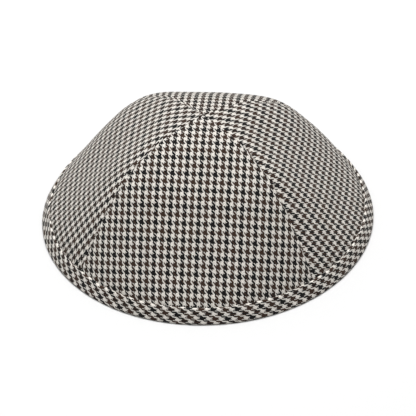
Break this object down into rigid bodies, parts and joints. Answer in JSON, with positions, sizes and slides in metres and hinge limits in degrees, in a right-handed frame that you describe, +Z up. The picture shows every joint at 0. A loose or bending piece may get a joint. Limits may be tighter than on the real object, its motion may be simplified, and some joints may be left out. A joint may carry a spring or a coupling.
{
  "type": "kippah",
  "caption": "Round cloth skullcap: a domed crown of sewn gores in small check wool, with a folded cloth band around the rim, standing on its rim.",
  "frame": {"origin": "centre of the rim, on the surface that the cap stands on", "axes": "+Z up through the top of the crown, -Y towards the front panel, +X to the right as seen from the front"},
  "size_m": [0.17, 0.17, 0.0675],
  "materials": {
    "crown_cloth": "woven wool houndstooth in cream, black and brown, matte with a slight nap",
    "band_cloth": "the same woven wool houndstooth, cut on the bias and folded"
  },
  "bodies": {
    "root": {"panel_front": "crown_cloth", "panel_right": "crown_cloth", "panel_back": "crown_cloth", "panel_left": "crown_cloth", "rim_band": "band_cloth"}
  },
  "joints": []
}
